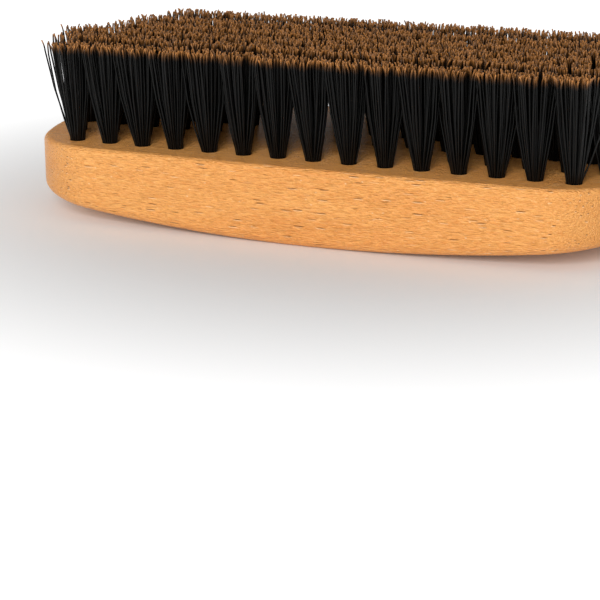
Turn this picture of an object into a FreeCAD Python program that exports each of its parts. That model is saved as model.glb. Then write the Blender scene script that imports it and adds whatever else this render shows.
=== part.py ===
import FreeCAD, Part
import math
import os
import Sketcher

from FreeCAD import Vector

# An oval palm brush with no handle: one solid beech block with an arched back, blind holes
# drilled into its flat face, and in every hole a tuft of bristle folded over a flat wire anchor.
# +X runs along the brush, +Y across it, +Z up out of the tuft face.  The brush lies on its
# back, and the origin is the middle of its footprint at the lowest point of the back.

os.makedirs("parts", exist_ok=True)
doc = FreeCAD.newDocument("BeardBrush")

# Driving sizes, in millimetres.
SIZES = {
    # the block: overall sizes, and the radii of the arcs that make its oval outline
    "block_length": 118.8,
    "block_width": 55.6,
    "block_thickness": 14.5,
    "side_arc_radius": 1060.0,
    "end_arc_radius": 54.4,
    "corner_arc_radius": 15.8,
    "end_rise": 4.9,
    "face_edge_radius": 1.0,
    "back_edge_radius": 2.0,
    # where the outermost hole centres of each row stand, in from the two ends of the block
    "front_row_end_margin": 11.9,
    "second_row_end_margin": 7.9,
    "third_row_end_margin": 5.8,
    "fourth_row_end_margin": 10.9,
    "fifth_row_end_margin": 11.8,
    "back_row_end_margin": 15.2,
    "row_side_margin": 7.05,
    # the drilled holes
    "hole_diameter": 3.0,
    "hole_depth": 6.5,
    "drill_point_angle": 118.0,
    # the tufts
    "bristle_length": 18.5,
    "root_clearance": 0.1,
    "root_gap": 0.3,
    "fold_radius": 0.8,
    "crown_radius": 0.7,
    "tip_gap": 0.4,
    # the flat wire anchors
    "anchor_thickness": 0.4,
    "anchor_height": 1.6,
    "anchor_bite": 0.5,
    "anchor_lift": 1.3,
    "anchor_clearance": 0.05,
}

# Front to back: name of the row, tufts in its left, middle and right section, and how many
# row spacings it stands behind the long centre line.  A tuft of one row stands next to a
# gap of the row in front of it, so the count goes up by one to the third row, then down.
ROWS = (
    ("front", (5, 5, 5), -2.5),
    ("second", (5, 6, 5), -1.5),
    ("third", (6, 5, 6), -0.5),
    ("fourth", (5, 6, 5), 0.5),
    ("fifth", (5, 5, 5), 1.5),
    ("back", (5, 4, 5), 2.5),
)
SECTIONS = ("left", "middle", "right")
CUT_MARGIN = 5.0

# Sketcher's own numbers for the origin, the two axes and the points of an element.
ORIGIN = -1
H_AXIS = -1
V_AXIS = -2
START = 1
END = 2
CENTRE = 3

sheet = doc.addObject("Spreadsheet::Sheet", "Sizes")
for line, (alias, size) in enumerate(SIZES.items(), start=1):
    sheet.set(f"A{line}", alias.replace("_", " "))
    sheet.set(f"B{line}", str(size))
    sheet.setAlias(f"B{line}", alias)
doc.recompute()

# Formulas used more than once.
FACE_Z = "Sizes.block_thickness"
TIP_Z = "(Sizes.block_thickness + Sizes.bristle_length)"
HOLE_FLOOR_Z = "(Sizes.block_thickness - Sizes.hole_depth)"
ROOT_Z = f"({HOLE_FLOOR_Z} + Sizes.root_gap)"
ROOT_RADIUS = "(Sizes.hole_diameter / 2 - Sizes.root_clearance)"
ANCHOR_LOW_Z = f"({HOLE_FLOOR_Z} + Sizes.anchor_lift)"
ANCHOR_HIGH_Z = f"({ANCHOR_LOW_Z} + Sizes.anchor_height)"
ROW_SPACING = "((Sizes.block_width - 2 * Sizes.row_side_margin) / 5)"
BACK_RADIUS = "((Sizes.block_length / 2)^2 + Sizes.end_rise^2) / (2 * Sizes.end_rise)"


def row_start(row):
    """Formula for the X of the leftmost hole of a row."""
    return f"(Sizes.{row}_row_end_margin - Sizes.block_length / 2)"


def row_pitch(row, holes):
    """Formula for the distance between neighbouring holes of a row."""
    return f"((Sizes.block_length - 2 * Sizes.{row}_row_end_margin) / {holes - 1})"


def origin_part(body, role):
    """One of the body's own origin planes or axes."""
    return next(part for part in body.Origin.OriginFeatures if part.Role == role)


def new_sketch(body, name, plane="XZ_Plane"):
    """An empty sketch on one of the body's own origin planes."""
    sketch = body.newObject("Sketcher::SketchObject", name)
    sketch.AttachmentSupport = [(origin_part(body, plane), "")]
    sketch.MapMode = "FlatFace"
    return sketch


def dimension(sketch, formula, kind, *where):
    """Adds a dimension and ties it to the sheet."""
    constraint = Sketcher.Constraint(kind, *where)
    sketch.setExpression(f"Constraints[{sketch.addConstraint(constraint)}]", formula)


def join(sketch, kind, pairs):
    """Joins the end of each first element to the start of its second one."""
    for first, second in pairs:
        sketch.addConstraint(Sketcher.Constraint(kind, first, END, second, START))


def polygon(sketch, corners):
    """A closed run of straight lines; returns nothing, the lines are numbered from 0."""
    points = [Vector(x, y, 0) for x, y in corners]
    for start, end in zip(points, points[1:] + points[:1]):
        sketch.addGeometry(Part.LineSegment(start, end))
    count = len(points)
    join(sketch, "Coincident", [(n, (n + 1) % count) for n in range(count)])


def rectangle(sketch, left, right, low, high, formulas):
    """A rectangle tied to the sheet by its left, right, low and high edges."""
    polygon(sketch, [(left, low), (right, low), (right, high), (left, high)])
    for edge in (0, 2):
        sketch.addConstraint(Sketcher.Constraint("Horizontal", edge))
    for edge in (1, 3):
        sketch.addConstraint(Sketcher.Constraint("Vertical", edge))
    left_formula, right_formula, low_formula, high_formula = formulas
    dimension(sketch, left_formula, "DistanceX", ORIGIN, 1, 0, START, left)
    dimension(sketch, right_formula, "DistanceX", ORIGIN, 1, 1, START, right)
    dimension(sketch, low_formula, "DistanceY", ORIGIN, 1, 0, START, low)
    dimension(sketch, high_formula, "DistanceY", ORIGIN, 1, 2, START, high)


def pattern_along_x(body, name, originals, length_formula, count):
    """Repeats features along the brush."""
    pattern = body.newObject("PartDesign::LinearPattern", name)
    pattern.Originals = originals
    pattern.Direction = (origin_part(body, "X_Axis"), [""])
    pattern.Occurrences = count
    pattern.setExpression("Length", length_formula)
    body.Tip = pattern
    return pattern


def draw_outline(sketch):
    """The oval: shallow arcs along the sides and round the ends, tighter ones between."""
    side_radius = SIZES["side_arc_radius"]
    end_radius = SIZES["end_arc_radius"]
    corner_radius = SIZES["corner_arc_radius"]
    side = Vector(0, SIZES["block_width"] / 2 - side_radius, 0)
    end = Vector(SIZES["block_length"] / 2 - end_radius, 0, 0)
    # the corner arc touches both others from inside, which fixes its centre
    to_side = side_radius - corner_radius
    to_end = end_radius - corner_radius
    between = end - side
    along = (to_side**2 - to_end**2 + between.Length**2) / (2 * between.Length)
    across = math.sqrt(to_side**2 - along**2)
    direction = Vector(between).normalize()
    corner = side + direction * along + Vector(-direction.y, direction.x, 0) * across
    if corner.x < 0 or corner.y < 0:
        corner = side + direction * along - Vector(-direction.y, direction.x, 0) * across
    turn_side = math.atan2(corner.y - side.y, corner.x - side.x)
    turn_end = math.atan2(corner.y, corner.x - end.x)
    half = math.pi
    arcs = (
        (end.x, 0, end_radius, -turn_end, turn_end),
        (corner.x, corner.y, corner_radius, turn_end, turn_side),
        (0, side.y, side_radius, turn_side, half - turn_side),
        (-corner.x, corner.y, corner_radius, half - turn_side, half - turn_end),
        (-end.x, 0, end_radius, half - turn_end, half + turn_end),
        (-corner.x, -corner.y, corner_radius, half + turn_end, half + turn_side),
        (0, -side.y, side_radius, half + turn_side, 2 * half - turn_side),
        (corner.x, -corner.y, corner_radius, 2 * half - turn_side, 2 * half - turn_end),
    )
    up = Vector(0, 0, 1)
    for x, y, radius, begin, finish in arcs:
        circle = Part.Circle(Vector(x, y, 0), up, radius)
        sketch.addGeometry(Part.ArcOfCircle(circle, begin, finish))
    join(sketch, "Tangent", [(n, (n + 1) % len(arcs)) for n in range(len(arcs))])
    for arc in (0, 4):
        sketch.addConstraint(Sketcher.Constraint("PointOnObject", arc, CENTRE, H_AXIS))
        dimension(sketch, "Sizes.end_arc_radius", "Radius", arc, end_radius)
    for arc in (2, 6):
        sketch.addConstraint(Sketcher.Constraint("PointOnObject", arc, CENTRE, V_AXIS))
        dimension(sketch, "Sizes.side_arc_radius", "Radius", arc, side_radius)
    for arc in (1, 3, 5, 7):
        dimension(sketch, "Sizes.corner_arc_radius", "Radius", arc, corner_radius)
    end_formula = "Sizes.block_length / 2 - Sizes.end_arc_radius"
    side_formula = "Sizes.block_width / 2 - Sizes.side_arc_radius"
    dimension(sketch, end_formula, "DistanceX", ORIGIN, 1, 0, CENTRE, end.x)
    dimension(sketch, f"-({end_formula})", "DistanceX", ORIGIN, 1, 4, CENTRE, -end.x)
    dimension(sketch, side_formula, "DistanceY", ORIGIN, 1, 2, CENTRE, side.y)
    dimension(sketch, f"-({side_formula})", "DistanceY", ORIGIN, 1, 6, CENTRE, -side.y)


def draw_back_arch(sketch):
    """The waste below the back: everything under a shallow arc through the origin."""
    rise = SIZES["end_rise"]
    radius = ((SIZES["block_length"] / 2) ** 2 + rise**2) / (2 * rise)
    reach = SIZES["block_length"] / 2 + CUT_MARGIN
    swing = math.asin(reach / radius)
    height = radius - radius * math.cos(swing)
    down = -math.pi / 2
    circle = Part.Circle(Vector(0, radius, 0), Vector(0, 0, 1), radius)
    sketch.addGeometry(Part.ArcOfCircle(circle, down - swing, down + swing))
    corners = [(reach, height), (reach, -CUT_MARGIN), (-reach, -CUT_MARGIN), (-reach, height)]
    for start, end in zip(corners, corners[1:]):
        sketch.addGeometry(Part.LineSegment(Vector(*start, 0), Vector(*end, 0)))
    join(sketch, "Coincident", [(n, (n + 1) % 4) for n in range(4)])
    sketch.addConstraint(Sketcher.Constraint("PointOnObject", 0, CENTRE, V_AXIS))
    sketch.addConstraint(Sketcher.Constraint("PointOnObject", ORIGIN, 1, 0))
    for edge in (1, 3):
        sketch.addConstraint(Sketcher.Constraint("Vertical", edge))
    sketch.addConstraint(Sketcher.Constraint("Horizontal", 2))
    dimension(sketch, BACK_RADIUS, "Radius", 0, radius)
    reach_formula = f"Sizes.block_length / 2 + {CUT_MARGIN}"
    dimension(sketch, reach_formula, "DistanceX", ORIGIN, 1, 1, START, reach)
    dimension(sketch, f"-({reach_formula})", "DistanceX", ORIGIN, 1, 2, END, -reach)
    dimension(sketch, f"-{CUT_MARGIN}", "DistanceY", ORIGIN, 1, 2, START, -CUT_MARGIN)


def draw_hole(sketch):
    """Half section of a blind hole with the cone the drill leaves at its floor."""
    radius = SIZES["hole_diameter"] / 2
    face = SIZES["block_thickness"]
    floor = face - SIZES["hole_depth"]
    half_angle = math.radians(SIZES["drill_point_angle"] / 2)
    point = floor - radius / math.tan(half_angle)
    polygon(sketch, [(0, point), (radius, floor), (radius, face), (0, face)])
    sketch.addConstraint(Sketcher.Constraint("Vertical", 1))
    sketch.addConstraint(Sketcher.Constraint("Horizontal", 2))
    sketch.addConstraint(Sketcher.Constraint("PointOnObject", 0, START, V_AXIS))
    sketch.addConstraint(Sketcher.Constraint("PointOnObject", 3, START, V_AXIS))
    point_formula = f"{HOLE_FLOOR_Z} - Sizes.hole_diameter / 2 / tan(Sizes.drill_point_angle / 2 * 1 deg)"
    dimension(sketch, point_formula, "DistanceY", ORIGIN, 1, 0, START, point)
    dimension(sketch, HOLE_FLOOR_Z, "DistanceY", ORIGIN, 1, 1, START, floor)
    dimension(sketch, FACE_Z, "DistanceY", ORIGIN, 1, 2, START, face)
    dimension(sketch, "Sizes.hole_diameter / 2", "DistanceX", ORIGIN, 1, 1, START, radius)


def draw_anchor(sketch, spare="0"):
    """End view of an anchor, grown all round by the spare formula."""
    half = SIZES["anchor_thickness"] / 2
    low = SIZES["block_thickness"] - SIZES["hole_depth"] + SIZES["anchor_lift"]
    high = low + SIZES["anchor_height"]
    half_formula = f"(Sizes.anchor_thickness / 2 + {spare})"
    sides = (f"-{half_formula}", half_formula)
    ends = (f"{ANCHOR_LOW_Z} - {spare}", f"{ANCHOR_HIGH_Z} + {spare}")
    rectangle(sketch, -half, half, low, high, sides + ends)


def draw_tuft(sketch, tip_formula, tip):
    """Half section of a tuft: folded root, straight neck in the hole, flare, round crown."""
    root = SIZES["hole_diameter"] / 2 - SIZES["root_clearance"]
    low = SIZES["block_thickness"] - SIZES["hole_depth"] + SIZES["root_gap"]
    face = SIZES["block_thickness"]
    high = face + SIZES["bristle_length"]
    fold = SIZES["fold_radius"]
    crown = SIZES["crown_radius"]
    up = Vector(0, 0, 1)
    fold_circle = Part.Circle(Vector(root - fold, low + fold, 0), up, fold)
    crown_circle = Part.Circle(Vector(tip - crown, high - crown, 0), up, crown)
    sketch.addGeometry(Part.LineSegment(Vector(0, low, 0), Vector(root - fold, low, 0)))
    sketch.addGeometry(Part.ArcOfCircle(fold_circle, -math.pi / 2, 0))
    sketch.addGeometry(Part.LineSegment(Vector(root, low + fold, 0), Vector(root, face, 0)))
    sketch.addGeometry(Part.LineSegment(Vector(root, face, 0), Vector(tip, high - crown, 0)))
    sketch.addGeometry(Part.ArcOfCircle(crown_circle, 0, math.pi / 2))
    sketch.addGeometry(Part.LineSegment(Vector(tip - crown, high, 0), Vector(0, high, 0)))
    sketch.addGeometry(Part.LineSegment(Vector(0, high, 0), Vector(0, low, 0)))
    join(sketch, "Tangent", [(0, 1), (1, 2), (3, 4), (4, 5)])
    join(sketch, "Coincident", [(2, 3), (5, 6), (6, 0)])
    for line in (0, 5):
        sketch.addConstraint(Sketcher.Constraint("Horizontal", line))
    for line in (2, 6):
        sketch.addConstraint(Sketcher.Constraint("Vertical", line))
    sketch.addConstraint(Sketcher.Constraint("PointOnObject", 0, START, V_AXIS))
    dimension(sketch, "Sizes.fold_radius", "Radius", 1, fold)
    dimension(sketch, "Sizes.crown_radius", "Radius", 4, crown)
    dimension(sketch, ROOT_Z, "DistanceY", ORIGIN, 1, 0, START, low)
    dimension(sketch, FACE_Z, "DistanceY", ORIGIN, 1, 2, END, face)
    dimension(sketch, TIP_Z, "DistanceY", ORIGIN, 1, 6, START, high)
    dimension(sketch, ROOT_RADIUS, "DistanceX", ORIGIN, 1, 2, END, root)
    dimension(sketch, tip_formula, "DistanceX", ORIGIN, 1, 3, END, tip)


def round_rim(body, base, pick, name, size_alias):
    """Rounds the rim of the face that the pick function chooses."""
    rim = pick(base.Shape.Faces, key=lambda face: face.CenterOfMass.z).OuterWire.Edges
    names = [
        f"Edge{number}"
        for number, edge in enumerate(base.Shape.Edges, start=1)
        if any(edge.isSame(other) for other in rim)
    ]
    fillet = body.newObject("PartDesign::Fillet", name)
    fillet.Base = (base, names)
    fillet.setExpression("Radius", f"Sizes.{size_alias}")
    body.Tip = fillet
    doc.recompute()
    return fillet


def make_block():
    """The beech block with its rows of holes and the nicks the anchors cut in their walls."""
    body = doc.addObject("PartDesign::Body", "HandleBlock")
    body.Label = "handle_block"
    outline = new_sketch(body, "Outline", "XY_Plane")
    draw_outline(outline)
    slab = body.newObject("PartDesign::Pad", "Slab")
    slab.Profile = outline
    slab.setExpression("Length", FACE_Z)
    back = new_sketch(body, "BackArch")
    draw_back_arch(back)
    arch = body.newObject("PartDesign::Pocket", "ArchedBack")
    arch.Profile = back
    arch.Type = "ThroughAll"
    arch.Midplane = True
    body.Tip = arch
    doc.recompute()
    face_rim = round_rim(body, arch, max, "FaceEdge", "face_edge_radius")
    round_rim(body, face_rim, min, "BackEdge", "back_edge_radius")
    for number, (row, sections, offset) in enumerate(ROWS, start=1):
        hole = new_sketch(body, f"HoleRow{number}")
        draw_hole(hole)
        nick = new_sketch(body, f"NickRow{number}")
        draw_anchor(nick, "Sizes.anchor_clearance")
        for sketch in (hole, nick):
            sketch.setExpression("AttachmentOffset.Base.x", row_start(row))
            sketch.setExpression("AttachmentOffset.Base.z", f"-({offset}) * {ROW_SPACING}")
        drilling = body.newObject("PartDesign::Groove", f"Drilling{number}")
        drilling.Profile = hole
        drilling.ReferenceAxis = (hole, ["V_Axis"])
        drilling.Angle = 360
        biting = body.newObject("PartDesign::Pocket", f"AnchorNick{number}")
        biting.Profile = nick
        biting.Midplane = True
        nick_length = "Sizes.hole_diameter + 2 * (Sizes.anchor_bite + Sizes.anchor_clearance)"
        biting.setExpression("Length", nick_length)
        length = f"Sizes.block_length - 2 * Sizes.{row}_row_end_margin"
        pattern_along_x(body, f"Holes{number}", [drilling, biting], length, sum(sections))
    doc.recompute()
    return body


def place_group(body, row, holes, first, offset):
    """Stands a group's first piece over its own hole."""
    start = f"{row_start(row)} + {first} * {row_pitch(row, holes)}"
    body.setExpression("Placement.Base.x", start)
    body.setExpression("Placement.Base.y", f"({offset}) * {ROW_SPACING}")


def make_tufts(name, row, holes, first, count, offset):
    """A run of neighbouring tufts, each one a solid with a window round its anchor."""
    body = doc.addObject("PartDesign::Body", "Body")
    body.Label = name
    body.AllowCompound = True
    place_group(body, row, holes, first, offset)
    pitch = (SIZES["block_length"] - 2 * SIZES[f"{row}_row_end_margin"]) / (holes - 1)
    tip_formula = f"(min({row_pitch(row, holes)}; {ROW_SPACING}) - Sizes.tip_gap) / 2"
    section = new_sketch(body, "Section")
    draw_tuft(section, tip_formula, (pitch - SIZES["tip_gap"]) / 2)
    tuft = body.newObject("PartDesign::Revolution", "Tuft")
    tuft.Profile = section
    tuft.ReferenceAxis = (section, ["V_Axis"])
    tuft.Angle = 360
    slit = new_sketch(body, "Slit")
    draw_anchor(slit, "Sizes.anchor_clearance")
    window = body.newObject("PartDesign::Pocket", "Window")
    window.Profile = slit
    window.Type = "ThroughAll"
    window.Midplane = True
    length = f"{count - 1} * {row_pitch(row, holes)}"
    pattern_along_x(body, "Run", [tuft, window], length, count)
    return body


def make_anchors(name, row, holes, first, count, offset):
    """The flat wire anchors under the same run of tufts, lying across the grain."""
    body = doc.addObject("PartDesign::Body", "Body")
    body.Label = name
    body.AllowCompound = True
    place_group(body, row, holes, first, offset)
    end_view = new_sketch(body, "EndView")
    draw_anchor(end_view)
    anchor = body.newObject("PartDesign::Pad", "Anchor")
    anchor.Profile = end_view
    anchor.Midplane = True
    anchor.setExpression("Length", "Sizes.hole_diameter + 2 * Sizes.anchor_bite")
    length = f"{count - 1} * {row_pitch(row, holes)}"
    pattern_along_x(body, "Run", [anchor], length, count)
    return body


pieces = [make_block()]
for number, (row, sections, offset) in enumerate(ROWS, start=1):
    first = 0
    for section, count in zip(SECTIONS, sections):
        where = f"row_{number}_{section}"
        group = (row, sum(sections), first, count, offset)
        pieces.append(make_tufts(f"tufts_{where}", *group))
        pieces.append(make_anchors(f"anchors_{where}", *group))
        first += count
doc.recompute()

for item in doc.Objects:
    if "Invalid" in item.State or "Error" in item.State:
        raise RuntimeError(f"{item.Label} did not recompute: {item.State}")
for piece in pieces:
    if piece.Shape.isNull() or not piece.Shape.isValid():
        raise RuntimeError(f"{piece.Label} has no valid shape")
for piece in pieces:
    piece.Shape.exportStep(f"parts/{piece.Label}.step")
    print(piece.Label, len(piece.Shape.Solids), round(piece.Shape.Volume, 2))
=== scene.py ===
"""Looks and studio for an oval palm brush: a beech block filled with tufts of natural bristle."""

import math
import random

import bpy
import numpy as np
from bpy.props import FloatProperty, FloatVectorProperty, IntProperty, PointerProperty
from mathutils import Matrix, Vector


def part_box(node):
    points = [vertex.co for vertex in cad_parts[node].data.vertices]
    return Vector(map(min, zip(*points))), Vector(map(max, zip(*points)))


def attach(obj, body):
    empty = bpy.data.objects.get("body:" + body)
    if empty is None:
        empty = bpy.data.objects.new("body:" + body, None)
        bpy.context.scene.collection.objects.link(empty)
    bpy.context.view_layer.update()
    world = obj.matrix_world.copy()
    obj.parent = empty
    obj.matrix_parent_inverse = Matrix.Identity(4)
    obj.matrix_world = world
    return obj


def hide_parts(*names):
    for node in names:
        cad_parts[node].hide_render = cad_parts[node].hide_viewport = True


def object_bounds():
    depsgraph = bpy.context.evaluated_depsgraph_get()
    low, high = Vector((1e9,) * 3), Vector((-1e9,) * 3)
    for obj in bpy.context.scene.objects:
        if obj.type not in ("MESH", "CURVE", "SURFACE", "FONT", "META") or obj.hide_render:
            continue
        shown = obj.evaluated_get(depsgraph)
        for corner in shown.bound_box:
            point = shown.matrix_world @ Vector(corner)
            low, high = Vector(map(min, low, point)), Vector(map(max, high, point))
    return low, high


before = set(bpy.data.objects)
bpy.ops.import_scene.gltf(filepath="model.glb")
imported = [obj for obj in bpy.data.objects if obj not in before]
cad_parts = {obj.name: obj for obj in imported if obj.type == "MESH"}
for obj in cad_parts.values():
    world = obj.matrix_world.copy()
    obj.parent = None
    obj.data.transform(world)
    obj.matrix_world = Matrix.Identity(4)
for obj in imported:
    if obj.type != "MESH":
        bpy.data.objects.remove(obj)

bl_info = {
    "name": "Oval Beard Brush",
    "version": (1, 0, 0),
    "blender": (4, 5, 0),
    "location": "View3D > Sidebar > Beard Brush",
    "description": "Bristle tufts, wood, anchor wire and a plain studio for an oval palm brush",
    "category": "Object",
}

MM = 0.001
CAD_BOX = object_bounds()

# The rows as they are drilled: how many tufts stand in each left, middle and right section.
ROWS = ((5, 5, 5), (5, 6, 5), (6, 5, 6), (5, 6, 5), (5, 5, 5), (5, 4, 5))
SECTIONS = ("left", "middle", "right")
TUFT_FACE_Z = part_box("handle_block")[1][2]
FREE_LENGTH = (CAD_BOX[1][2] - TUFT_FACE_Z) / MM


def linear(hex_colour):
    """Linear RGBA of an sRGB hex colour."""
    channels = [int(hex_colour[start : start + 2], 16) / 255 for start in (1, 3, 5)]
    return [c / 12.92 if c <= 0.04045 else ((c + 0.055) / 1.055) ** 2.4 for c in channels] + [1.0]


def colour(name, description, hex_colour):
    """A colour setting whose default is an sRGB hex colour."""
    return FloatVectorProperty(
        name=name, description=description, subtype="COLOR", size=4, min=0, max=1, default=linear(hex_colour)
    )


def length(name, description, millimetres):
    """A length setting, in millimetres here and in metres in the file."""
    return FloatProperty(
        name=name, description=description, subtype="DISTANCE", unit="LENGTH", precision=5,
        default=millimetres * MM,
    )


class BristleSettings(bpy.types.PropertyGroup):
    """Sizes and colours of the bristle."""

    diameter: length("Diameter", "Thickness of one bristle at the hole", 0.35)
    bundle: length("Bundle radius", "Radius of the ring of outermost bristles where they leave the hole", 1.3)
    flare_x: length("Flare along", "From the tuft's middle to its outermost tips, along the brush", 4.3)
    flare_y: length("Flare across", "From the tuft's middle to its outermost tips, across the brush", 3.9)
    uneven: length("Uneven tips", "How far the tips stand above or below the trimmed height", 0.16)
    lean_out: length("Lean out", "How far the tips of the front and back rows lean away from the others", 1.9)
    bend: length("Bent ends", "How far the most bent ends stand to the side", 0.6)
    brown_end: length("Brown end", "How far the brown reaches down from the tip", 1.95)
    clump: FloatProperty(
        name="Clumping", description="How far the tips draw together into locks", default=0.3
    )
    splay: FloatProperty(
        name="Splay", description="How much earlier than its end a bristle does its leaning", default=1.6
    )
    locks: IntProperty(name="Locks", description="Locks of bristle in one tuft", default=9, min=1)
    per_tuft: IntProperty(name="Bristle ends", description="Bristle ends in one tuft", default=66, min=8)
    kinds: IntProperty(
        name="Different tufts", description="How many tufts are made before copying", default=14, min=2
    )
    black: colour("Shaft colour", "Colour of the shaft", "#070706")
    brown: colour("Tip colour", "Colour of the tip", "#8B5C2F")


class WoodSettings(bpy.types.PropertyGroup):
    """Colours and figure of the beech."""

    pale: colour("Early wood", "Paler colour of the wood", "#FFBA68")
    deep: colour("Late wood", "Deeper colour of the wood", "#E69344")
    pore: colour("Pores", "Colour of the open pores", "#AE6A2A")
    # Colour of the painted highlights: light along the lower edges of the pores, and the pale specks.
    painted_highlight: colour("Painted highlights", "Colour of the lit edges of the pores and of the pale specks", "#FFD3A0")
    pore_length: length("Pore length", "Length of one pore along the grain", 2.3)
    pore_width: length("Pore width", "Width of one pore across the grain", 0.21)
    speck: length("Speck size", "Size of one pale speck", 0.32)


class StudioSettings(bpy.types.PropertyGroup):
    """Camera and lights."""

    lens: FloatProperty(
        name="Lens", description="Focal length of the camera", subtype="DISTANCE_CAMERA", default=110.6
    )
    key_power: FloatProperty(
        name="Key light", description="Power of the key light", unit="POWER", default=5.2
    )
    side_power: FloatProperty(
        name="Side light", description="Power of the light at the left end", unit="POWER", default=0.3
    )
    sky: FloatProperty(name="Surround", description="Brightness of the white surround", default=0.3)
    floor_glow: FloatProperty(
        name="Floor glow", description="Brightness of the paper around the brush", default=0.78
    )


def add_node(tree, kind, options=None, values=None, links=None):
    """Adds a shader node, sets its options and socket values, and links its inputs."""
    node = tree.nodes.new(kind)
    for name, value in (options or {}).items():
        setattr(node, name, value)
    for socket, value in (values or {}).items():
        node.inputs[socket].default_value = value
    for socket, source in (links or {}).items():
        tree.links.new(source, node.inputs[socket])
    return node


def new_material(name):
    """An empty node material with its output; returns the material, its tree and the output."""
    material = bpy.data.materials.new(name)
    material.use_nodes = True
    tree = material.node_tree
    tree.nodes.clear()
    return material, tree, tree.nodes.new("ShaderNodeOutputMaterial")


def per_metre(sizes):
    """The scale of a pattern along x, y and z, from the size of its features in millimetres."""
    return [1 / (size * MM) for size in sizes]


# Broad bands of early and late wood: their length along the grain, width and thickness.
BAND_SIZES = (55.556, 8.3333, 6.25)
# Fine fibres, drawn coarser than real ones so that they show, and how far they shift the colour.
FIBRE_SIZES = (1.5385, 0.19231, 0.19231)
FIBRE_TINT = 0.25
# How far a pore reaches from the middle of its cell, as a share of the cell's size. It is fully
# dark up to the first share of that reach and gone at the second.
PORE_REACH = 0.2
PORE_EDGE = (0.6, 1.1)
# The share of the relief that a pore takes away, and the height of the relief in millimetres.
PORE_DEPTH = 0.25
RELIEF = 0.5
# The width of a pale speck as a share of its cell's, and the distances from the cell's middle
# between which it fades out.
SPECK_SHARE = 0.2
SPECK_EDGE = (0.05, 0.11)
# How strongly the painted highlights show, on the lower edges of the pores and as pale specks.
GLINT_SHARE = 0.65
# Lines that the drawing die leaves along a wire, whose length lies across the brush.
WIRE_LINE_SIZES = (0.11111, 3.3333, 0.11111)


def pore_mask(tree, place, settings, shift):
    """Short dashes, each in a cell drawn out along the grain; shift lowers them on the walls."""
    along = 2 * PORE_REACH / settings.pore_length
    across = 2 * PORE_REACH / settings.pore_width
    moved = add_node(
        tree, "ShaderNodeMapping",
        values={"Scale": (along, across, across), "Location": (0, 0.3 * shift * across, shift * across)},
        links={"Vector": place},
    )
    cells = add_node(
        tree, "ShaderNodeTexVoronoi", values={"Scale": 1.0}, links={"Vector": moved.outputs["Vector"]}
    )
    near = add_node(
        tree, "ShaderNodeMapRange", {"interpolation_type": "SMOOTHSTEP"},
        {
            "From Min": PORE_EDGE[0] * PORE_REACH, "From Max": PORE_EDGE[1] * PORE_REACH,
            "To Min": 1.0, "To Max": 0.0,
        },
        {"Value": cells.outputs["Distance"]},
    )
    # One cell in ten holds no pore, and the others are not all equally open.
    draw = add_node(tree, "ShaderNodeSeparateColor", links={"Color": cells.outputs["Color"]})
    open_share = add_node(
        tree, "ShaderNodeMapRange", values={"From Min": 0.1, "From Max": 0.8},
        links={"Value": draw.outputs["Red"]},
    )
    return add_node(
        tree, "ShaderNodeMath", {"operation": "MULTIPLY"},
        links={0: near.outputs["Result"], 1: open_share.outputs["Result"]},
    ).outputs["Value"]


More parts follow.
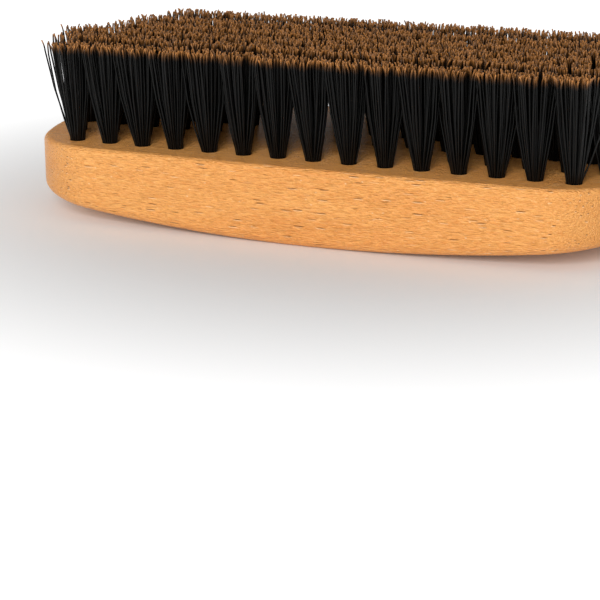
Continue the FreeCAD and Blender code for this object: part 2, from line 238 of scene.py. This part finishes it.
def oiled_beech(settings):
    """Oiled beech, sanded along the grain."""
    # The oil gives it a warm orange tan and a low sheen, and its open pores show as short dashes.
    material, tree, output = new_material("oiled_beech")
    place = add_node(tree, "ShaderNodeTexCoord").outputs["Object"]
    bands_place = add_node(
        tree, "ShaderNodeMapping", values={"Scale": per_metre(BAND_SIZES)}, links={"Vector": place}
    )
    bands = add_node(
        tree, "ShaderNodeTexNoise", values={"Scale": 1.0, "Detail": 3.0, "Roughness": 0.55},
        links={"Vector": bands_place.outputs["Vector"]},
    )
    fibre_place = add_node(
        tree, "ShaderNodeMapping", values={"Scale": per_metre(FIBRE_SIZES)}, links={"Vector": place}
    )
    fibres = add_node(
        tree, "ShaderNodeTexNoise", values={"Scale": 1.0, "Detail": 2.0, "Roughness": 0.5},
        links={"Vector": fibre_place.outputs["Vector"]},
    )
    fibre_share = add_node(
        tree, "ShaderNodeMapRange", {"clamp": False},
        {"From Min": 0.35, "From Max": 0.65, "To Min": -FIBRE_TINT, "To Max": FIBRE_TINT},
        {"Value": fibres.outputs["Fac"]},
    )
    depth = add_node(
        tree, "ShaderNodeMath", {"operation": "ADD", "use_clamp": True},
        links={0: fibre_share.outputs["Result"], 1: bands.outputs["Fac"]},
    )
    streaked = add_node(
        tree, "ShaderNodeMix", {"data_type": "RGBA"}, {"A": settings.pale, "B": settings.deep},
        {"Factor": depth.outputs["Value"]},
    )
    # Open pores: thin dark dashes. Along the lower edge of each lies a painted highlight, standing in for
    # light caught by that edge.
    pores = pore_mask(tree, place, settings, 0.0)
    painted_pore_highlight = add_node(
        tree, "ShaderNodeMath", {"operation": "SUBTRACT", "use_clamp": True},
        links={0: pore_mask(tree, place, settings, 0.8 * settings.pore_width), 1: pores},
    )
    # Painted highlights: small pale specks that stand in for glints of light on the wood.
    speck_scale = SPECK_SHARE / settings.speck
    speck_place = add_node(
        tree, "ShaderNodeMapping",
        values={"Scale": (0.7 * speck_scale, speck_scale, speck_scale), "Rotation": (0, 0.5, 0)},
        links={"Vector": place},
    )
    speck_cells = add_node(
        tree, "ShaderNodeTexVoronoi", values={"Scale": 1.0}, links={"Vector": speck_place.outputs["Vector"]}
    )
    specks = add_node(
        tree, "ShaderNodeMapRange",
        values={"From Min": SPECK_EDGE[0], "From Max": SPECK_EDGE[1], "To Min": 1.0, "To Max": 0.0},
        links={"Value": speck_cells.outputs["Distance"]},
    )
    # The painted highlights of the pore edges and of the specks, laid over the wood's colour.
    light = add_node(
        tree, "ShaderNodeMath", {"operation": "MAXIMUM"},
        links={0: painted_pore_highlight.outputs["Value"], 1: specks.outputs["Result"]},
    )
    painted_highlight_share = add_node(
        tree, "ShaderNodeMath", {"operation": "MULTIPLY"}, {1: GLINT_SHARE}, {0: light.outputs["Value"]}
    )
    lit = add_node(
        tree, "ShaderNodeMix", {"data_type": "RGBA"}, {"B": settings.painted_highlight},
        {"Factor": painted_highlight_share.outputs["Value"], "A": streaked.outputs["Result"]},
    )
    pored = add_node(
        tree, "ShaderNodeMix", {"data_type": "RGBA"}, {"B": settings.pore},
        {"Factor": pores, "A": lit.outputs["Result"]},
    )
    # The fibres stand up a little after oiling, and the pores lie open.
    relief = add_node(
        tree, "ShaderNodeMath", {"operation": "MULTIPLY_ADD"}, {1: -PORE_DEPTH},
        {0: pores, 2: fibres.outputs["Fac"]},
    )
    bump = add_node(
        tree, "ShaderNodeBump", values={"Strength": 1.0, "Distance": RELIEF * MM},
        links={"Height": relief.outputs["Value"]},
    )
    shader = add_node(
        tree, "ShaderNodeBsdfPrincipled", values={"Roughness": 0.33, "IOR": 1.5},
        links={"Base Color": pored.outputs["Result"], "Normal": bump.outputs["Normal"]},
    )
    tree.links.new(shader.outputs["BSDF"], output.inputs["Surface"])
    return material


def natural_bristle(settings):
    """Natural bristle: black and slightly glossy, brown where it was cut."""
    material, tree, output = new_material("natural_bristle")
    below = add_node(tree, "ShaderNodeAttribute", {"attribute_name": "below_tip"}).outputs["Fac"]
    tone = add_node(tree, "ShaderNodeAttribute", {"attribute_name": "tone"}).outputs["Fac"]
    # One bristle's brown reaches up to half a millimetre further down than another's.
    shifted = add_node(
        tree, "ShaderNodeMath", {"operation": "MULTIPLY_ADD"}, {1: 0.5 * MM}, {0: tone, 2: below}
    )
    end = settings.brown_end
    brown = add_node(
        tree, "ShaderNodeMapRange", {"interpolation_type": "SMOOTHSTEP"},
        {"From Min": 0.2 * end, "From Max": 1.1 * end, "To Min": 1.0, "To Max": 0.0},
        {"Value": shifted.outputs["Value"]},
    )
    dim = add_node(tree, "ShaderNodeMapRange", values={"To Min": 0.4, "To Max": 1.4}, links={"Value": tone})
    # Painted highlight and painted shade: the colour is lifted at the cut end and darkened on the neck below
    # it, so every end reads as a separate bright dot.
    tip_highlight_and_shade = add_node(
        tree, "ShaderNodeMapRange",
        values={"From Min": 0.0, "From Max": 0.5 * end, "To Min": 1.5, "To Max": 0.5}, links={"Value": below},
    )
    strength = add_node(
        tree, "ShaderNodeMath", {"operation": "MULTIPLY"},
        links={0: dim.outputs["Result"], 1: tip_highlight_and_shade.outputs["Result"]},
    )
    brown_tone = add_node(
        tree, "ShaderNodeVectorMath", {"operation": "SCALE"}, {0: settings.brown[:3]},
        {"Scale": strength.outputs["Value"]},
    )
    mixed = add_node(
        tree, "ShaderNodeMix", {"data_type": "RGBA"}, {"A": settings.black},
        {"Factor": brown.outputs["Result"], "B": brown_tone.outputs["Vector"]},
    )
    shader = add_node(
        tree, "ShaderNodeBsdfPrincipled", values={"Roughness": 0.3, "IOR": 1.5, "Specular IOR Level": 0.22},
        links={"Base Color": mixed.outputs["Result"]},
    )
    tree.links.new(shader.outputs["BSDF"], output.inputs["Surface"])
    return material


def drawn_wire():
    """Drawn flat steel wire, dull, with fine lines along its length."""
    material, tree, output = new_material("drawn_steel_wire")
    place = add_node(tree, "ShaderNodeTexCoord").outputs["Object"]
    lines_place = add_node(
        tree, "ShaderNodeMapping", values={"Scale": per_metre(WIRE_LINE_SIZES)}, links={"Vector": place}
    )
    lines = add_node(
        tree, "ShaderNodeTexNoise", values={"Scale": 1.0, "Detail": 2.0},
        links={"Vector": lines_place.outputs["Vector"]},
    )
    rough = add_node(
        tree, "ShaderNodeMapRange", values={"To Min": 0.3, "To Max": 0.55},
        links={"Value": lines.outputs["Fac"]},
    )
    shader = add_node(
        tree, "ShaderNodeBsdfPrincipled", values={"Base Color": linear("#B5B2AC"), "Metallic": 1.0},
        links={"Roughness": rough.outputs["Result"]},
    )
    tree.links.new(shader.outputs["BSDF"], output.inputs["Surface"])
    return material


def dress(node, material):
    """Gives a CAD node its finish."""
    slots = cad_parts[node].data.materials
    for number in range(len(slots)):
        slots[number] = material
    if not len(slots):
        slots.append(material)


class BRUSH_OT_block(bpy.types.Operator):
    """Finish the block in oiled beech"""

    bl_idname = "brush.block"
    bl_label = "Beech Block"

    def execute(self, context):
        dress("handle_block", oiled_beech(context.scene.brush_wood))
        return {"FINISHED"}


class BRUSH_OT_anchors(bpy.types.Operator):
    """Finish the flat wire anchors"""

    bl_idname = "brush.anchors"
    bl_label = "Anchor Wire"

    def execute(self, context):
        wire = drawn_wire()
        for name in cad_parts:
            if name.startswith("anchors_"):
                dress(name, wire)
        return {"FINISHED"}


def deselect():
    """Nothing selected, nothing active."""
    bpy.ops.object.select_all(action="DESELECT")
    bpy.context.view_layer.objects.active = None


def join(pieces, name):
    """One object out of several."""
    deselect()
    for piece in pieces:
        piece.select_set(True)
    bpy.context.view_layer.objects.active = pieces[0]
    if len(pieces) > 1:
        bpy.ops.object.join()
    joined = bpy.context.view_layer.objects.active
    joined.name = name
    joined.data.name = name
    return joined


def own_copy(piece):
    """A copy with its own mesh."""
    copy = piece.copy()
    copy.data = piece.data.copy()
    bpy.context.scene.collection.objects.link(copy)
    return copy


# A bristle's rings from the fold under the anchor, past the mouth of the hole at height 0, to
# the cut end, which the last two close. Each has its height above the tuft face in millimetres,
# then its share of the bristle's thickness, of its bow and of its bend.
RINGS = (
    (-5.75, 0.8, 0, 0),
    (-5.0, 1.0, 0, 0),
    (-3.3, 1.0, 0, 0),
    (0.0, 1.0, 0, 0),
    (4.0, 1.0, 0.7, 0),
    (9.5, 1.0, 1.0, 0),
    (FREE_LENGTH - 2.2, 0.97, 0.2, 0),
    (FREE_LENGTH - 1.2, 0.93, 0, 0.12),
    (FREE_LENGTH - 0.6, 0.87, 0, 0.45),
    (FREE_LENGTH - 0.08, 0.86, 0, 0.95),
    (FREE_LENGTH, 0.72, 0, 1.0),
)
# The most that a shaft bows, in millimetres, then the shares of the full bend by which an end
# is bent ahead, from and to, and at most aside.
BOW = 0.3
BEND_AHEAD = (0.15, 1.0)
BEND_ASIDE = 0.3
SIDES = 6
# Below the first height a bristle stands beside the anchor, at least this far from the middle
# of the hole. Below the second it folds under the anchor and comes this share of the way back.
ANCHOR_TOP = -3.0
ANCHOR_ROOM = 0.45
FOLD_TOP = -5.5
FOLD_BACK = 0.9
# The length of the end that an uneven trim moves up or down.
TRIMMED = 2.0
# The shares of the flare, from and to, at which the outermost tips stand, and the most that a
# bristle is turned from straight outwards, in radians.
FAN_SHARES = (0.88, 1.06)
FAN_TWIST = 0.2
# How many bristles are modelled, and how many tufts for the ends of the rows.
BRISTLE_SHAPES = 10
EDGE_KINDS = 4
SEED = 5
# At the end of a row most bristles stay with the tuft and a few stand well out of it.
END_REACH = (0.65, 0.7, 0.75, 0.85, 1.0, 1.2, 1.4, 1.5)


def model_bristle(settings, source):
    """One straight-standing bristle, its end bent to one side, grown ring by ring from its fold."""
    radius = settings.diameter / 2
    deselect()
    centre = Vector((0, 0, TUFT_FACE_Z + RINGS[0][0] * MM))
    share = RINGS[0][1]
    bpy.ops.mesh.primitive_circle_add(
        vertices=SIDES, radius=radius * share, fill_type="NGON", location=centre
    )
    bristle = bpy.context.object
    bpy.ops.object.transform_apply(location=True, rotation=True, scale=True)
    bpy.ops.object.mode_set(mode="EDIT")
    bpy.ops.mesh.select_all(action="SELECT")
    ahead = source.uniform(*BEND_AHEAD)
    aside = source.uniform(-BEND_ASIDE, BEND_ASIDE)
    bend = Vector((ahead, aside, 0)) * settings.bend
    bow = source.uniform(-BOW, BOW) * MM
    for height, thickness, bow_share, bend_share in RINGS[1:]:
        target = Vector((0, bow * bow_share, TUFT_FACE_Z + height * MM)) + bend * bend_share
        bpy.ops.mesh.extrude_region_move(TRANSFORM_OT_translate={"value": target - centre})
        scale = thickness / share
        bpy.ops.transform.resize(value=(scale, scale, 1), center_override=target)
        centre, share = target, thickness
    bpy.ops.mesh.select_all(action="SELECT")
    bpy.ops.mesh.normals_make_consistent(inside=False)
    bpy.ops.object.mode_set(mode="OBJECT")
    bpy.ops.object.shade_smooth()
    # The cut end stays flat.
    for face in bristle.data.polygons:
        if len(face.vertices) == SIDES and face.normal.z > 0.5:
            face.use_smooth = False
    return bristle


def plant(settings, bristle, base, tip, turn, trim, tone):
    """A bristle's copy, rooted at base, fanned out so that its end stands at tip."""
    copy = own_copy(bristle)
    mesh = copy.data
    points = np.empty(len(mesh.vertices) * 3)
    mesh.vertices.foreach_get("co", points)
    points = points.reshape(-1, 3)
    rise = (points[:, 2] - TUFT_FACE_Z) / MM
    cosine, sine = math.cos(turn), math.sin(turn)
    x, y = points[:, 0].copy(), points[:, 1].copy()
    # A bristle leans most where it leaves the hole and straightens towards its end.
    up = 1 - (1 - np.clip(rise / FREE_LENGTH, 0, 1)) ** settings.splay
    points[:, 0] = cosine * x - sine * y + base[0] + (tip[0] - base[0]) * up
    points[:, 1] = sine * x + cosine * y + base[1] + (tip[1] - base[1]) * up
    side = math.copysign(max(abs(base[0]), ANCHOR_ROOM * MM), base[0]) - base[0]
    points[rise < ANCHOR_TOP, 0] += side
    points[rise < FOLD_TOP, 0] -= (base[0] + side) * FOLD_BACK
    points[:, 2] += np.where(rise > FREE_LENGTH - TRIMMED, trim, 0)
    mesh.vertices.foreach_set("co", points.ravel())
    below = mesh.attributes.new("below_tip", "FLOAT", "POINT")
    below.data.foreach_set("value", (FREE_LENGTH - rise) * MM)
    tones = mesh.attributes.new("tone", "FLOAT", "POINT")
    tones.data.foreach_set("value", np.full(len(rise), tone))
    mesh.update()
    return copy


def make_tuft(settings, bristles, source, stray_side, name):
    """A bundle of bristle, spread as evenly as seeds in a sunflower, that fans out of its hole."""
    golden = math.pi * (3 - math.sqrt(5))
    count = settings.per_tuft
    spin = source.uniform(0, math.tau)
    locks = []
    for _ in range(settings.locks):
        angle, share = source.uniform(0, math.tau), math.sqrt(source.random())
        rim = Vector((math.cos(angle) * settings.flare_x, math.sin(angle) * settings.flare_y, 0))
        locks.append(rim * share)
    planted = []
    for number in range(count):
        share = math.sqrt((number + 0.5) / count)
        angle = number * golden + spin
        base = Vector((math.cos(angle), math.sin(angle), 0)) * share * settings.bundle
        fan = share * source.uniform(*FAN_SHARES)
        way = angle + source.uniform(-FAN_TWIST, FAN_TWIST)
        tip = Vector((math.cos(way) * settings.flare_x * fan, math.sin(way) * settings.flare_y * fan, 0))
        lock = min(locks, key=lambda spot: (spot - tip).length)
        tip = tip.lerp(lock, settings.clump * source.random())
        if stray_side and base.x < 0:
            tip.x *= source.choice(END_REACH)
        planted.append(
            plant(
                settings, source.choice(bristles), base, tip, source.uniform(0, math.tau),
                source.uniform(-1, 1) * settings.uneven, source.random(),
            )
        )
    return join(planted, name)


def lean(piece, distance):
    """Leans a tuft across the brush: its tips move by distance, and nothing moves in its hole."""
    mesh = piece.data
    points = np.empty(len(mesh.vertices) * 3)
    mesh.vertices.foreach_get("co", points)
    points = points.reshape(-1, 3)
    up = np.clip((points[:, 2] - TUFT_FACE_Z) / (FREE_LENGTH * MM), 0, 1)
    points[:, 1] += distance * up
    mesh.vertices.foreach_set("co", points.ravel())


def tuft_centres(node, count):
    """Where the tufts of a node stand: evenly between the ends of its box."""
    low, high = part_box(node)
    reach = (high[1] - low[1]) / 2
    first, last = low[0] + reach, high[0] - reach
    y = (low[1] + high[1]) / 2
    return [Vector((first + (last - first) * n / (count - 1), y, 0)) for n in range(count)]


class BRUSH_OT_bristles(bpy.types.Operator):
    """Fill the block with tufts of bristle"""

    bl_idname = "brush.bristles"
    bl_label = "Bristle Tufts"

    def execute(self, context):
        settings = context.scene.brush_bristles
        source = random.Random(SEED)
        material = natural_bristle(settings)
        bristles = [model_bristle(settings, source) for _ in range(BRISTLE_SHAPES)]
        inner = [make_tuft(settings, bristles, source, False, f"tuft_{n}") for n in range(settings.kinds)]
        edge = [make_tuft(settings, bristles, source, True, f"edge_tuft_{n}") for n in range(EDGE_KINDS)]
        for row, sections in enumerate(ROWS, start=1):
            for section, count in zip(SECTIONS, sections):
                node = f"tufts_row_{row}_{section}"
                copies = []
                for number, centre in enumerate(tuft_centres(node, count)):
                    first = section == "left" and number == 0
                    last = section == "right" and number == count - 1
                    copy = own_copy(source.choice(edge if first or last else inner))
                    half_turn = last or (not first and source.random() < 0.5)
                    turn = Matrix.Rotation(math.pi, 4, "Z") if half_turn else Matrix.Identity(4)
                    copy.data.transform(Matrix.Translation(centre) @ turn)
                    if row in (1, len(ROWS)):
                        lean(copy, math.copysign(settings.lean_out, centre.y))
                    copies.append(copy)
                piece = join(copies, f"bristles_row_{row}_{section}")
                piece.data.materials.clear()
                piece.data.materials.append(material)
                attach(piece, "root")
                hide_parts(node)
        for pattern in bristles + inner + edge:
            bpy.data.objects.remove(pattern)
        return {"FINISHED"}


# The studio's places and sizes are in metres.
FLOOR_SIZE = 6
# Distances from the middle of the floor where the paper starts to glow and where it glows fully.
GLOW_START, GLOW_FULL = 0.03, 0.17
# Where the lights stand, the size of their panels, and the point that they shine at.
KEY_PLACE = (0.12, -0.76, 0.34)
SIDE_PLACE = (-0.6, -0.15, 0.2)
LIGHT_SIZE = 0.4
LIT_POINT = Vector((0, 0, 0.015))
# Where the camera stands, its tilt up from straight down, and its turn to the left, in degrees.
CAMERA_PLACE = (0.1171, -0.3211, 0.07344 + TUFT_FACE_Z)
CAMERA_TILT = 72.83
CAMERA_TURN = 21.72


class BRUSH_OT_studio(bpy.types.Operator):
    """Lay the floor and set up the lights and the camera"""

    bl_idname = "brush.studio"
    bl_label = "Studio"

    def execute(self, context):
        settings = context.scene.brush_studio
        scene = context.scene
        deselect()
        bpy.ops.mesh.primitive_plane_add(size=FLOOR_SIZE, location=(0, 0, 0))
        floor = context.object
        floor.name = "floor"
        # Uncoated paper is matt and shows no reflections.
        material, tree, output = new_material("white_paper")
        # The paper is lit from below further out: it stays quiet near the brush, white around it.
        place = add_node(tree, "ShaderNodeTexCoord").outputs["Object"]
        reach = add_node(tree, "ShaderNodeVectorMath", {"operation": "LENGTH"}, links={0: place})
        glow = add_node(
            tree, "ShaderNodeMapRange", {"interpolation_type": "SMOOTHSTEP"},
            {"From Min": GLOW_START, "From Max": GLOW_FULL, "To Min": 0.0, "To Max": settings.floor_glow},
            {"Value": reach.outputs["Value"]},
        )
        shader = add_node(
            tree, "ShaderNodeBsdfPrincipled",
            values={"Base Color": linear("#F4F4F4"), "Roughness": 0.9, "Emission Color": linear("#FFFFFF")},
            links={"Emission Strength": glow.outputs["Result"]},
        )
        tree.links.new(shader.outputs["BSDF"], output.inputs["Surface"])
        floor.data.materials.append(material)

        world = bpy.data.worlds.new("white_surround")
        scene.world = world
        world.use_nodes = True
        background = world.node_tree.nodes["Background"]
        background.inputs["Color"].default_value = (1, 1, 1, 1)
        background.inputs["Strength"].default_value = settings.sky

        for name, spot, power in (
            ("key_light", KEY_PLACE, settings.key_power),
            ("side_light", SIDE_PLACE, settings.side_power),
        ):
            bpy.ops.object.light_add(type="AREA", location=spot)
            light = context.object
            light.name = name
            light.data.size = LIGHT_SIZE
            light.data.energy = power
            light.rotation_euler = (LIT_POINT - Vector(spot)).to_track_quat("-Z", "Y").to_euler()

        bpy.ops.object.camera_add(
            location=CAMERA_PLACE, rotation=(math.radians(CAMERA_TILT), 0, math.radians(CAMERA_TURN))
        )
        camera = context.object
        camera.data.lens = settings.lens
        camera.data.clip_start = 0.01
        scene.camera = camera
        scene.view_settings.view_transform = "Standard"
        return {"FINISHED"}


class BRUSH_PT_panel(bpy.types.Panel):
    """Everything the brush is made of"""

    bl_label = "Beard Brush"
    bl_idname = "BRUSH_PT_panel"
    bl_space_type = "VIEW_3D"
    bl_region_type = "UI"
    bl_category = "Beard Brush"

    def draw(self, context):
        layout = self.layout
        for group, operators in (
            (context.scene.brush_wood, ("brush.block", "brush.anchors")),
            (context.scene.brush_bristles, ("brush.bristles",)),
            (context.scene.brush_studio, ("brush.studio",)),
        ):
            box = layout.box()
            for name in group.__annotations__:
                box.prop(group, name)
            for operator in operators:
                box.operator(operator)


CLASSES = (
    BristleSettings, WoodSettings, StudioSettings, BRUSH_OT_block, BRUSH_OT_anchors, BRUSH_OT_bristles,
    BRUSH_OT_studio, BRUSH_PT_panel,
)


def register():
    for cls in CLASSES:
        bpy.utils.register_class(cls)
    bpy.types.Scene.brush_bristles = PointerProperty(type=BristleSettings)
    bpy.types.Scene.brush_wood = PointerProperty(type=WoodSettings)
    bpy.types.Scene.brush_studio = PointerProperty(type=StudioSettings)


def unregister():
    del bpy.types.Scene.brush_studio
    del bpy.types.Scene.brush_wood
    del bpy.types.Scene.brush_bristles
    for cls in reversed(CLASSES):
        bpy.utils.unregister_class(cls)


def main():
    """Builds the scene."""
    register()
    bpy.ops.brush.block()
    bpy.ops.brush.anchors()
    bpy.ops.brush.bristles()
    bpy.ops.brush.studio()


if __name__ == "__main__":
    main()
